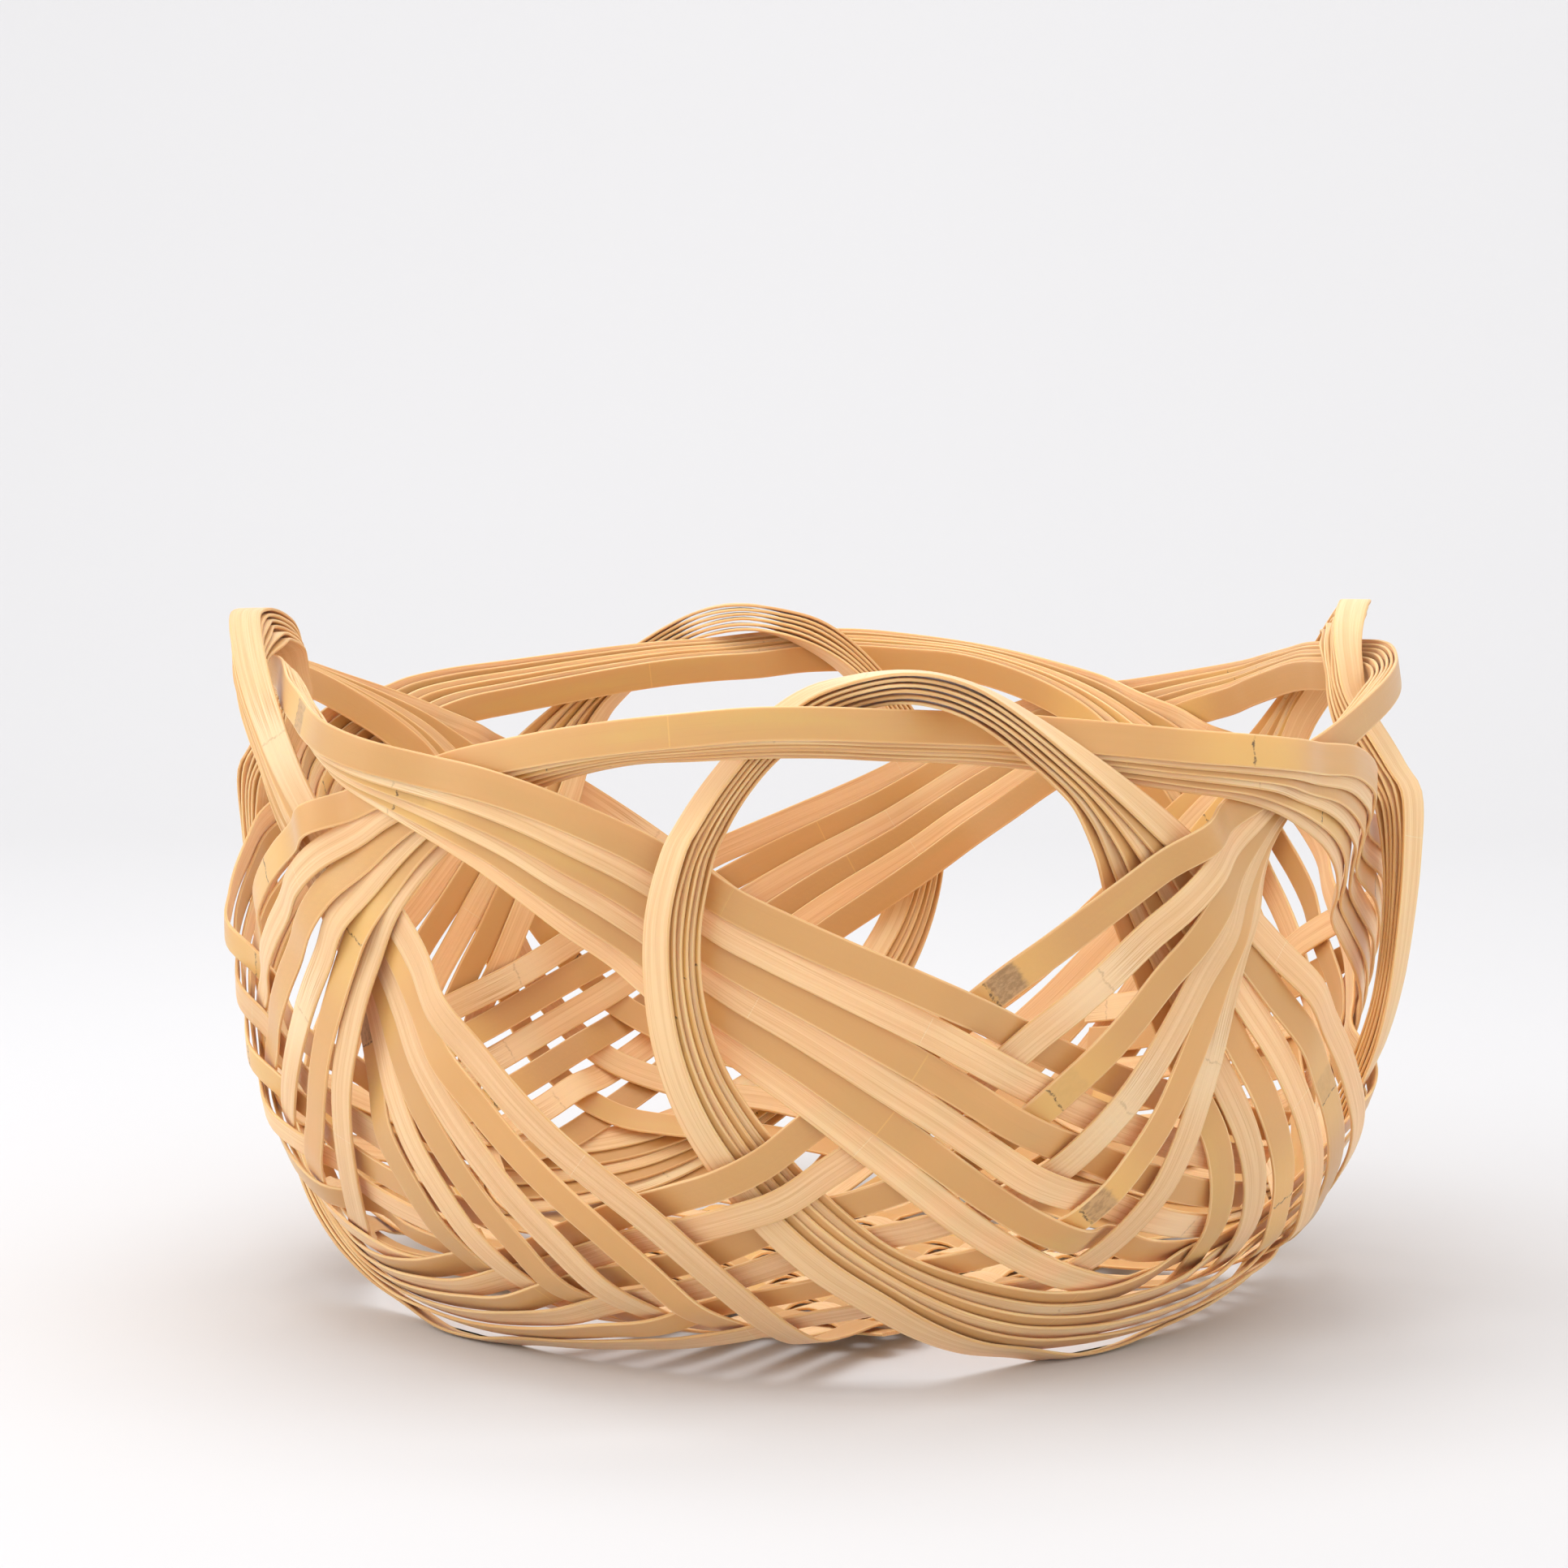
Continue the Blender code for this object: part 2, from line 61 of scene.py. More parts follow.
# Sizes that the strip settings and the strip's node tree both start from
STRIP_WIDTH = 7.3 * MM
STRIP_THICKNESS = 0.85 * MM
SOLID_THICKNESS = 0.5 * MM
WIDTH_DRIFT = 0.035
EDGE_ROUNDING = 0.34
STEP = 2.4 * MM
NODE_SPACING = 0.262
NODE_RISE = 0.10 * MM

# Growth nodes of the bamboo: how far along each strip its first one lies, in metres. A bamboo
# stem carries them at even steps, so a strip's next ones follow from it.
FIRST_NODES = {
    "front_wave": (0.150, 0.235, 0.105, 0.205, 0.060, 0.180),
    "right_wave": (0.096, 0.084, 0.034, 0.060, 0.049, 0.254),
    "back_wave": (0.190, 0.090, 0.045, 0.130, 0.170, 0.007),
    "left_wave": (0.092, 0.030, 0.036, 0.010, 0.020, 0.246),
}
# How much brown skin was left on at the growth nodes of each strip: 0 leaves only a dark line.
NODE_SCARS = {
    "front_wave": (0.0, 0.3, 0.0, 0.0, 0.0, 0.2),
    "right_wave": (0.0, 0.0, 0.0, 0.2, 0.0, 0.8),
    "back_wave": (0.0, 0.0, 0.0, 0.3, 0.0, 0.0),
    "left_wave": (0.0, 0.9, 0.0, 0.15, 0.0, 1.0),
}


class StripSettings(bpy.types.PropertyGroup):
    """Sizes and colours of the bamboo strips"""
    thickness: bpy.props.FloatProperty(
        name="Thickness", description="Thickness of a split bamboo strip",
        default=STRIP_THICKNESS, min=0.2 * MM, max=1.0 * MM, precision=5, unit="LENGTH")
    solid_thickness: bpy.props.FloatProperty(
        name="Solid's thickness", description="Thickness of the strip's solid in the frame",
        default=SOLID_THICKNESS, min=0.2 * MM, max=1.0 * MM, precision=5, unit="LENGTH")
    width: bpy.props.FloatProperty(
        name="Width", description="Width of a split bamboo strip",
        default=STRIP_WIDTH, min=4.0 * MM, max=8.0 * MM, precision=5, unit="LENGTH")
    width_drift: bpy.props.FloatProperty(
        name="Width drift", description="How much the width wanders along a strip, as a share",
        default=WIDTH_DRIFT, min=0.0, max=0.1, subtype="FACTOR")
    edge_rounding: bpy.props.FloatProperty(
        name="Edge rounding", description="0.1 leaves sharp cut edges, 1 makes a lens section",
        default=EDGE_ROUNDING, min=0.1, max=1.0, subtype="FACTOR")
    step: bpy.props.FloatProperty(
        name="Step", description="Distance between two cross sections along a strip",
        default=STEP, min=1.0 * MM, max=10.0 * MM, precision=5, unit="LENGTH")
    node_spacing: bpy.props.FloatProperty(
        name="Node spacing", description="Distance between two growth nodes of the bamboo",
        default=NODE_SPACING, min=0.1, max=0.6, unit="LENGTH")
    node_rise: bpy.props.FloatProperty(
        name="Node rise", description="Height of the ridge that a growth node leaves on the skin",
        default=NODE_RISE, min=0.0, max=0.5 * MM, precision=5, unit="LENGTH")
    skin_colour: bpy.props.FloatVectorProperty(
        name="Skin colour", description="Smooth outer skin of the bamboo",
        default=(0.67, 0.372, 0.132), size=3, min=0.0, max=1.0, subtype="COLOR")
    fibre_colour: bpy.props.FloatVectorProperty(
        name="Fibre colour", description="Fibrous inner side of the bamboo",
        default=(0.84, 0.53, 0.265), size=3, min=0.0, max=1.0, subtype="COLOR")
    edge_colour: bpy.props.FloatVectorProperty(
        name="Edge colour", description="Cut edges of the strips",
        default=(0.74, 0.42, 0.165), size=3, min=0.0, max=1.0, subtype="COLOR")
    node_colour: bpy.props.FloatVectorProperty(
        name="Node colour", description="Scar where a growth node was shaved flat",
        default=(0.33, 0.185, 0.085), size=3, min=0.0, max=1.0, subtype="COLOR")
    glow: bpy.props.FloatProperty(
        name="Glow", description="How much light wanders through the thin bamboo",
        default=0.45, min=0.0, max=1.0, subtype="FACTOR")


class StageSettings(bpy.types.PropertyGroup):
    """Paper, lights and camera of the studio"""
    paper_colour: bpy.props.FloatVectorProperty(
        name="Paper colour", description="Floor and backdrop of the studio",
        default=(0.68, 0.675, 0.685), size=3, min=0.0, max=1.0, subtype="COLOR")
    key_power: bpy.props.FloatProperty(
        name="Key light", description="Power of the large soft light on the left, in watts",
        default=2.6, min=0.0, unit="POWER")
    backdrop_power: bpy.props.FloatProperty(
        name="Backdrop light",
        description="Power of the light that brightens the backdrop, in watts",
        default=6.5, min=0.0, unit="POWER")
    top_power: bpy.props.FloatProperty(
        name="Top light", description="Power of the soft light over the basket, in watts",
        default=3.0, min=0.0, unit="POWER")
    sky_strength: bpy.props.FloatProperty(
        name="Room light", description="Strength of the even light of the white room",
        default=1.14, min=0.0)
    camera_turn: bpy.props.FloatProperty(
        name="Camera turn", description="How far the camera stands to the side of the front peak",
        default=math.radians(8.5), subtype="ANGLE", unit="ROTATION")
    camera_distance: bpy.props.FloatProperty(
        name="Camera distance", description="Distance from the middle of the basket, on the floor",
        default=1.043, min=0.3, unit="LENGTH")
    camera_height: bpy.props.FloatProperty(
        name="Camera height", description="Height of the lens over the floor",
        default=0.2208, min=0.0, unit="LENGTH")
    camera_tilt: bpy.props.FloatProperty(
        name="Camera tilt", description="How far the camera looks down",
        default=math.radians(5.45), subtype="ANGLE", unit="ROTATION")
    lens: bpy.props.FloatProperty(
        name="Lens", description="Focal length in millimetres on a sensor 36 mm wide",
        default=100.0, min=20.0)


# Middle line of a strip, read from its solid

POINT_DECIMALS = 7
CUT_CORNERS = 4


def merged_triangles(node):
    """Corner points of a solid without doubles, and its triangles as indices into them."""
    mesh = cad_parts[node].data
    spots = np.empty(len(mesh.vertices) * 3, np.float32)
    mesh.vertices.foreach_get("co", spots)
    mesh.calc_loop_triangles()
    corners = np.empty(len(mesh.loop_triangles) * 3, np.int32)
    mesh.loop_triangles.foreach_get("vertices", corners)
    rounded = np.round(spots.reshape(-1, 3), POINT_DECIMALS)
    points, merged = np.unique(rounded, axis=0, return_inverse=True)
    return points.astype(float), merged.reshape(-1)[corners].reshape(-1, 3)


def rings_in_order(points, triangles):
    """The four corners of each cut across the strip, from one end of the strip to the other."""
    near = [set() for _ in points]
    for a, b, c in triangles:
        near[a] |= {b, c}
        near[b] |= {a, c}
        near[c] |= {a, b}
    partner = [min(near[v], key=lambda w: np.linalg.norm(points[v] - points[w]))
               for v in range(len(points))]
    starts = []
    for v, w in itertools.product(range(len(points)), repeat=2):
        if v < partner[v] and w < partner[w] and v < w and w in near[v] | near[partner[v]]:
            ring = {v, partner[v], w, partner[w]}
            beyond = set().union(*(near[u] for u in ring)) - ring
            if len(ring) == CUT_CORNERS and len(beyond) == CUT_CORNERS:
                starts.append(ring)
    # an end cut meets only one other cut, and the strip starts at the lower of its two ends
    ring = min(starts, key=lambda corners: np.mean([points[v][2] for v in corners]))
    rings, seen = [], set()
    while ring:
        rings.append(sorted(ring))
        seen |= ring
        ring = set().union(*(near[v] for v in ring)) - seen
    if len(seen) != len(points) or any(len(cut) != CUT_CORNERS for cut in rings):
        raise RuntimeError("a strip's solid isn't a row of four-cornered cuts")
    return rings, partner


def middle_line(node):
    """Middle points of a strip, and the ways out of its outer face, from the mat to its end."""
    points, triangles = merged_triangles(node)
    rings, partner = rings_in_order(points, triangles)
    first = rings[0]
    pairs = [(v, partner[v]) for v in first if v < partner[v]]
    pairs = [sorted(pair, key=lambda v: points[v][2]) for pair in pairs]
    ordered = [(pairs[0][0], pairs[1][0], pairs[1][1], pairs[0][1])]
    for ring in rings[1:]:
        before = points[list(ordered[-1])]
        before = before - before.mean(axis=0)
        shifted = {v: points[v] - points[ring].mean(axis=0) for v in ring}
        ordered.append(min(
            itertools.permutations(ring),
            key=lambda order: sum(np.sum((shifted[v] - b) ** 2) for v, b in zip(order, before))))
    corners = points[np.array(ordered)]
    out = corners[:, 0] + corners[:, 1] - corners[:, 2] - corners[:, 3]
    return corners.mean(axis=1), out / np.linalg.norm(out, axis=1)[:, None]


# Node tree helpers

class Tree:
    """Adds nodes to a node tree and links them in the same breath."""

    def __init__(self, nodes, links):
        self.nodes = nodes
        self.links = links

    def add(self, kind, inputs=None, **settings):
        node = self.nodes.new(kind)
        for key, value in settings.items():
            setattr(node, key, value)
        for key, value in (inputs or {}).items():
            socket = node.inputs[key]
            if isinstance(value, bpy.types.NodeSocket):
                self.links.new(value, socket)
            else:
                socket.default_value = value
        return node

    def math(self, operation, *values):
        node = self.add("ShaderNodeMath", dict(enumerate(values)), operation=operation)
        return node.outputs[0]

    def vector(self, operation, *values, output=0):
        node = self.add("ShaderNodeVectorMath", dict(enumerate(values)), operation=operation)
        return node.outputs[output]

    def times(self, vector, factor):
        node = self.add("ShaderNodeVectorMath", {0: vector, "Scale": factor}, operation="SCALE")
        return node.outputs[0]

    def ramp(self, value, low, high, to_low=0.0, to_high=1.0, smooth=True):
        node = self.add("ShaderNodeMapRange", {
            "Value": value, "From Min": low, "From Max": high,
            "To Min": to_low, "To Max": to_high})
        node.interpolation_type = "SMOOTHSTEP" if smooth else "LINEAR"
        return node.outputs[0]

    def noise(self, vector, detail, roughness=0.5, scale=1.0):
        node = self.add("ShaderNodeTexNoise", {
            "Vector": vector, "Scale": scale, "Detail": detail, "Roughness": roughness})
        return node.outputs[0]

    def point(self, x=0.0, y=0.0, z=0.0):
        return self.add("ShaderNodeCombineXYZ", {0: x, 1: y, 2: z}).outputs[0]

    def store(self, geometry, name, value, kind="FLOAT"):
        return self.add("GeometryNodeStoreNamedAttribute",
                        {"Geometry": geometry, "Name": name, "Value": value},
                        data_type=kind, domain="POINT").outputs[0]

    def stored(self, name, kind="FLOAT"):
        return self.add("GeometryNodeInputNamedAttribute", {"Name": name},
                        data_type=kind).outputs[0]

    def mix(self, factor, a, b, blend="MIX"):
        node = self.add("ShaderNodeMix", data_type="RGBA", blend_type=blend)
        for name, value in (("Factor_Float", factor), ("A_Color", a), ("B_Color", b)):
            socket = next(s for s in node.inputs if s.identifier == name)
            if isinstance(value, bpy.types.NodeSocket):
                self.links.new(value, socket)
            else:
                socket.default_value = value
        return next(s for s in node.outputs if s.identifier == "Result_Color")


# The strip as a Geometry Nodes tree

STRIP_INPUTS = (
    ("Width", "NodeSocketFloat", STRIP_WIDTH),
    ("Thickness", "NodeSocketFloat", STRIP_THICKNESS),
    ("Solid's thickness", "NodeSocketFloat", SOLID_THICKNESS),
    ("Width drift", "NodeSocketFloat", WIDTH_DRIFT),
    ("Edge rounding", "NodeSocketFloat", EDGE_ROUNDING),
    ("Step", "NodeSocketFloat", STEP),
    ("First node", "NodeSocketFloat", 0.1),
    ("Node spacing", "NodeSocketFloat", NODE_SPACING),
    ("Node rise", "NodeSocketFloat", NODE_RISE),
    ("Scar", "NodeSocketFloat", 0.0),
    ("Seed", "NodeSocketFloat", 0.0),
    ("Bamboo", "NodeSocketMaterial", None),
)
SECTION_POINTS = 20
SMOOTHING_CUTS = 12
NODE_RIDGE = 1.6 * MM
DRIFT_LENGTH = 50 * MM
DRIFT_DETAIL = 2.0


def strip_tree():
    """The node tree that turns a path into one strip of bamboo."""
    group = bpy.data.node_groups.new("bamboo_strip", "GeometryNodeTree")
    group.is_modifier = True
    face = group.interface
    face.new_socket("Path", in_out="INPUT", socket_type="NodeSocketGeometry")
    for name, kind, default in STRIP_INPUTS:
        socket = face.new_socket(name, in_out="INPUT", socket_type=kind)
        if default is not None:
            socket.default_value = default
    face.new_socket("Strip", in_out="OUTPUT", socket_type="NodeSocketGeometry")
    tree = Tree(group.nodes, group.links)
    given = tree.add("NodeGroupInput").outputs

    # a smooth line through the path's points, cut at even steps
    line = tree.add("GeometryNodeMeshToCurve", {"Mesh": given["Path"]}).outputs[0]
    line = tree.add("GeometryNodeCurveSplineType", {"Curve": line},
                    spline_type="CATMULL_ROM").outputs[0]
    line = tree.add("GeometryNodeSetSplineResolution",
                    {"Geometry": line, "Resolution": SMOOTHING_CUTS}).outputs[0]
    line = tree.add("GeometryNodeResampleCurve", {"Curve": line, "Length": given["Step"]},
                    mode="LENGTH").outputs[0]
    line = tree.add("GeometryNodeCurveSplineType", {"Curve": line},
                    spline_type="POLY").outputs[0]

    # outward way, squared to the line
    tangent = tree.add("GeometryNodeInputTangent").outputs[0]
    out = tree.stored("out_way", "FLOAT_VECTOR")
    lean = tree.vector("DOT_PRODUCT", out, tangent, output=1)
    out = tree.vector("NORMALIZE", tree.vector("SUBTRACT", out, tree.times(tangent, lean)))
    side = tree.vector("CROSS_PRODUCT", out, tangent)
    run = tree.add("GeometryNodeSplineParameter").outputs["Length"]
    for name, kind, value in (("side_way", "FLOAT_VECTOR", side), ("along", "FLOAT", run),
                              ("face_way", "FLOAT_VECTOR", out)):
        line = tree.store(line, name, value, kind)
    line = tree.add("GeometryNodeSetCurveNormal", {"Curve": line, "Normal": out},
                    mode="FREE").outputs[0]

    # section of the strip: a flat oval whose sides are drawn out to a rounded oblong
    ring = tree.add("GeometryNodeCurvePrimitiveCircle",
                    {"Resolution": SECTION_POINTS, "Radius": 1.0}).outputs[0]
    place = tree.add("ShaderNodeSeparateXYZ",
                     {0: tree.add("GeometryNodeInputPosition").outputs[0]}).outputs
    drawn = []
    for axis in (0, 1):
        size = tree.math("POWER", tree.math("ABSOLUTE", place[axis]), given["Edge rounding"])
        drawn.append(tree.math("MULTIPLY", size, tree.math("SIGN", place[axis])))
    across = tree.math("MULTIPLY", drawn[0], tree.math("MULTIPLY", given["Width"], 0.5))
    deep = tree.math("MULTIPLY", drawn[1], tree.math("MULTIPLY", given["Thickness"], 0.5))
    for name, value in (("across", across), ("facing", drawn[1]), ("deep", deep)):
        ring = tree.store(ring, name, value)
    # the section is swept as a point, and opened to its size once it lies along the line
    ring = tree.add("GeometryNodeSetPosition",
                    {"Geometry": ring, "Position": tree.point()}).outputs[0]
    strip = tree.add("GeometryNodeCurveToMesh",
                     {"Curve": line, "Profile Curve": ring, "Fill Caps": True}).outputs[0]

    # signed distance to the nearest growth node, and the ridge it leaves on the outer face
    past = tree.math("SUBTRACT", tree.stored("along"), given["First node"])
    half = tree.math("MULTIPLY", given["Node spacing"], 0.5)
    past = tree.math("WRAP", past, half, tree.math("MULTIPLY", half, -1.0))
    for name, value in (("from_node", past), ("strip_seed", given["Seed"]),
                        ("scar", given["Scar"])):
        strip = tree.store(strip, name, value)
    bell = tree.math("DIVIDE", tree.stored("from_node"), NODE_RIDGE)
    bell = tree.math("EXPONENT", tree.math("MULTIPLY", tree.math("MULTIPLY", bell, bell), -1.0))
    rise = tree.math("MULTIPLY", tree.math("MULTIPLY", bell, given["Node rise"]),
                     tree.math("MAXIMUM", tree.stored("facing"), 0.0))
    wander = tree.noise(tree.point(tree.math("DIVIDE", tree.stored("along"), DRIFT_LENGTH),
                                   given["Seed"]), DRIFT_DETAIL)
    wander = tree.math("MULTIPLY", tree.math("SUBTRACT", wander, 0.5), 2.0)
    share = tree.math("ADD", 1.0, tree.math("MULTIPLY", wander, given["Width drift"]))
    aside = tree.times(tree.stored("side_way", "FLOAT_VECTOR"),
                       tree.math("MULTIPLY", tree.stored("across"), share))
    # the outer face stays where the solid has it, so a thicker strip only grows inwards
    inset = tree.math("MULTIPLY", tree.math(
        "SUBTRACT", given["Solid's thickness"], given["Thickness"]), 0.5)
    outward = tree.times(tree.stored("face_way", "FLOAT_VECTOR"), tree.math(
        "ADD", tree.math("ADD", tree.stored("deep"), rise), inset))
    strip = tree.add("GeometryNodeSetPosition",
                     {"Geometry": strip, "Offset": tree.vector("ADD", aside, outward)}).outputs[0]

    # nothing reaches below the floor that the basket stands on
    spot = tree.add("ShaderNodeSeparateXYZ",
                    {0: tree.add("GeometryNodeInputPosition").outputs[0]}).outputs
    level = tree.point(spot[0], spot[1], tree.math("MAXIMUM", spot[2], 0.0))
    strip = tree.add("GeometryNodeSetPosition", {"Geometry": strip, "Position": level}).outputs[0]
    strip = tree.add("GeometryNodeSetShadeSmooth", {"Geometry": strip}).outputs[0]
    strip = tree.add("GeometryNodeRealizeInstances", {"Geometry": strip}).outputs[0]
    strip = tree.add("GeometryNodeSetMaterial",
                     {"Geometry": strip, "Material": given["Bamboo"]}).outputs[0]
    tree.add("NodeGroupOutput", {"Strip": strip})
    return group


# Bamboo materials

# Tones of the bamboo beside those in the settings
STRAW_SKIN = (0.68, 0.415, 0.135, 1.0)
WARM_SKIN = (0.71, 0.385, 0.142, 1.0)
SKIN_STREAK = (0.60, 0.31, 0.10, 1.0)
PALE_FIBRE = (0.90, 0.60, 0.32, 1.0)
BROWN_STREAK = (0.62, 0.32, 0.115, 1.0)
LIGHT_STREAK = (0.92, 0.68, 0.38, 1.0)
PALE_SCAR = (0.53, 0.32, 0.155, 1.0)
NODE_HALO = (0.80, 0.49, 0.155, 1.0)
NODE_LINE = (0.12, 0.062, 0.03, 1.0)
FIBRE_NODE_LINE = (0.34, 0.19, 0.085, 1.0)
# Painted sheen on the fibres at a growth node: darker and lighter streaks, and a pale side
SHEEN_PATCH_DARK = (0.60, 0.34, 0.14, 1.0)
SHEEN_PATCH_LIGHT = (0.95, 0.76, 0.49, 1.0)
SHEEN_PATCH_PALE = (0.93, 0.70, 0.42, 1.0)
PALE_EDGE = (0.88, 0.60, 0.30, 1.0)

# Grain: length along the strip, width across it, detail, roughness
FIBRE_GRAIN = (34 * MM, 0.24 * MM, 3.0, 0.6)
STRAND_GRAIN = (60 * MM, 1.1 * MM, 2.0, 0.5)
TONE_GRAIN = (75 * MM, 12 * MM, 3.0, 0.55)
RAGGED_GRAIN = (4 * MM, 2.2 * MM, 4.0, 0.65)
MOTTLE_GRAIN = (2.4 * MM, 1.2 * MM, 4.0, 0.7)
STRIP_OFFSET = 7.0
FACE_OFFSET = 0.6

# Growth node: the distances from it at which each mark starts to show and at which it is full
RAGGED_REACH = 3.0 * MM
SCAR_START = (-0.5 * MM, 0.3 * MM)
SCAR_END = (7.8 * MM, 6.4 * MM)
LINE_PLACE = 0.5 * MM
LINE_REACH = (0.42 * MM, 0.10 * MM)
HALO_REACH = (24 * MM, 5 * MM)
# painted sheen patch on the fibres: how far it reaches from the node, and where its pale side
# turns to streaks
SHEEN_PATCH_REACH = (19 * MM, 3 * MM)
SHEEN_PATCH_SHIFT = 4 * MM
SHEEN_PATCH_FADE = (-7 * MM, 7 * MM)

# Surface
FIBRE_ROUGHNESS = 0.60
SKIN_SMOOTHING = 0.22
ROUGHNESS_GRAIN = 0.25
SKIN_RELIEF = 0.18
SCAR_RELIEF = 0.8
BUMP_STRENGTH = 0.3
BUMP_HEIGHT = 0.10 * MM
BAMBOO_IOR = 1.48
SHEEN_WEIGHT = 0.12
SHEEN_ROUGHNESS = 0.45
GLOW_RADIUS = (1.0, 0.55, 0.25)
GLOW_DEPTH = 1.4 * MM


def bamboo_material(name, skin_outside, settings):
    """Skin on one face and fibres on the other, with growth nodes, cut edges and fine streaks."""
    material = bpy.data.materials.new(name)
    material.use_nodes = True
    tree = Tree(material.node_tree.nodes, material.node_tree.links)
    shader = material.node_tree.nodes["Principled BSDF"]

    def read(label):
        return tree.add("ShaderNodeAttribute", attribute_name=label).outputs["Fac"]

    along, across, facing = read("along"), read("across"), read("facing")
    from_node, seed = read("from_node"), read("strip_seed")
    skin_colour = (*settings.skin_colour, 1.0)
    fibre_colour = (*settings.fibre_colour, 1.0)

    def grain(lengthwise, crosswise, detail, roughness):
        spot = tree.point(
            tree.math("DIVIDE", along, lengthwise), tree.math("DIVIDE", across, crosswise),
            tree.math("ADD", tree.math("MULTIPLY", seed, STRIP_OFFSET),
                      tree.math("MULTIPLY", facing, FACE_OFFSET)))
        return tree.noise(spot, detail, roughness)

    # long fine fibres, broader bands of tone, and the drift of colour from strip to strip
    fibres, strands, tone = grain(*FIBRE_GRAIN), grain(*STRAND_GRAIN), grain(*TONE_GRAIN)
    own = tree.add("ShaderNodeTexWhiteNoise", {"W": seed},
                   noise_dimensions="1D").outputs["Value"]

    # skin: smooth and even, a little yellow or straw-coloured in long soft patches
    skin = tree.mix(tree.ramp(tone, 0.55, 0.75), skin_colour, STRAW_SKIN)
    skin = tree.mix(tree.ramp(tone, 0.46, 0.28), skin, WARM_SKIN)
    skin = tree.mix(tree.ramp(fibres, 0.42, 0.30, 0.0, 0.22), skin, SKIN_STREAK)

    # fibres: finely streaked, paler and darker by turns
    fibre = tree.mix(tree.ramp(strands, 0.42, 0.62), fibre_colour, PALE_FIBRE)
    fibre = tree.mix(tree.ramp(fibres, 0.48, 0.34, 0.0, 0.40), fibre, BROWN_STREAK)
    fibre = tree.mix(tree.ramp(fibres, 0.58, 0.70, 0.0, 0.35), fibre, LIGHT_STREAK)

    # growth nodes: a brown scar beside a ragged dark line on the skin; in the fibres, paler fibres
    # with a painted sheen on them
    size = tree.math("ABSOLUTE", from_node)
    ragged, mottled = grain(*RAGGED_GRAIN), grain(*MOTTLE_GRAIN)
    rough_edge = tree.math("ADD", from_node, tree.math(
        "MULTIPLY", tree.math("SUBTRACT", ragged, 0.5), RAGGED_REACH))
    scar = tree.math("MULTIPLY", tree.ramp(rough_edge, *SCAR_START),
                     tree.ramp(rough_edge, *SCAR_END))
    scar = tree.math("MULTIPLY", scar, read("scar"))
    scar_colour = tree.mix(tree.ramp(mottled, 0.38, 0.62), (*settings.node_colour, 1.0),
                           PALE_SCAR)
    near = tree.math("ABSOLUTE", tree.math("ADD", rough_edge, LINE_PLACE))
    line = tree.math("MULTIPLY", tree.ramp(near, *LINE_REACH, 0.0, 0.9),
                     tree.ramp(mottled, 0.40, 0.56, 0.15, 1.0))
    skin = tree.mix(tree.ramp(size, *HALO_REACH, 0.0, 0.75), skin, NODE_HALO)
    skin = tree.mix(tree.math("MULTIPLY", scar, 0.85), skin, scar_colour)
    skin = tree.mix(line, skin, NODE_LINE)
    # painted sheen: light and dark streaks and a pale side stand in for the shine of the fibres
    # round a node, laid over their paler colour
    painted_sheen = tree.mix(tree.ramp(fibres, 0.42, 0.58), SHEEN_PATCH_DARK, SHEEN_PATCH_LIGHT)
    painted_sheen = tree.mix(tree.ramp(tree.math("SUBTRACT", from_node, SHEEN_PATCH_SHIFT), *SHEEN_PATCH_FADE),
                    SHEEN_PATCH_PALE, painted_sheen)
    fibre = tree.mix(tree.ramp(size, *SHEEN_PATCH_REACH, 0.0, 0.7), fibre, painted_sheen)
    fibre = tree.mix(tree.math("MULTIPLY", line, 0.35), fibre, FIBRE_NODE_LINE)

    # which face a point lies on, the cut edges, and each strip's own lightness
    outer, inner = (skin, fibre) if skin_outside else (fibre, skin)
    is_outer = tree.ramp(facing, -0.05, 0.05)
    colour = tree.mix(is_outer, inner, outer)
    rim = tree.ramp(tree.math("ABSOLUTE", facing), 0.93, 0.80)
    colour = tree.mix(rim, colour, tree.mix(
        tree.ramp(fibres, 0.35, 0.65), (*settings.edge_colour, 1.0), PALE_EDGE))
    shade = tree.ramp(own, 0.0, 1.0, 0.90, 1.06, smooth=False)
    colour = tree.mix(1.0, colour, tree.point(shade, shade, shade), blend="MULTIPLY")

    skin_here = is_outer if skin_outside else tree.math("SUBTRACT", 1.0, is_outer)
    skin_here = tree.math("MULTIPLY", skin_here, tree.math("SUBTRACT", 1.0, rim))
    roughness = tree.math("SUBTRACT", FIBRE_ROUGHNESS,
                          tree.math("MULTIPLY", skin_here, SKIN_SMOOTHING))
    roughness = tree.math("ADD", roughness, tree.math(
        "MULTIPLY", tree.math("SUBTRACT", fibres, 0.5), ROUGHNESS_GRAIN))
    height = tree.math("MULTIPLY", fibres, tree.ramp(skin_here, 0.0, 1.0, 1.0, SKIN_RELIEF))
    height = tree.math("SUBTRACT", height, tree.math("MULTIPLY", scar, SCAR_RELIEF))
    bump = tree.add("ShaderNodeBump", {
        "Height": height, "Strength": BUMP_STRENGTH, "Distance": BUMP_HEIGHT})
    tree.links.new(colour, shader.inputs["Base Color"])
    tree.links.new(roughness, shader.inputs["Roughness"])
    tree.links.new(bump.outputs[0], shader.inputs["Normal"])
    shader.inputs["Metallic"].default_value = 0.0
    shader.inputs["IOR"].default_value = BAMBOO_IOR
    shader.inputs["Sheen Weight"].default_value = SHEEN_WEIGHT
    shader.inputs["Sheen Roughness"].default_value = SHEEN_ROUGHNESS
    shader.inputs["Subsurface Weight"].default_value = settings.glow
    shader.inputs["Subsurface Radius"].default_value = GLOW_RADIUS
    shader.inputs["Subsurface Scale"].default_value = GLOW_DEPTH
    return material


def shared(kind, name, make):
    """A material or node tree of that name, made once."""
    found = getattr(bpy.data, kind).get(name)
    return found if found else make()


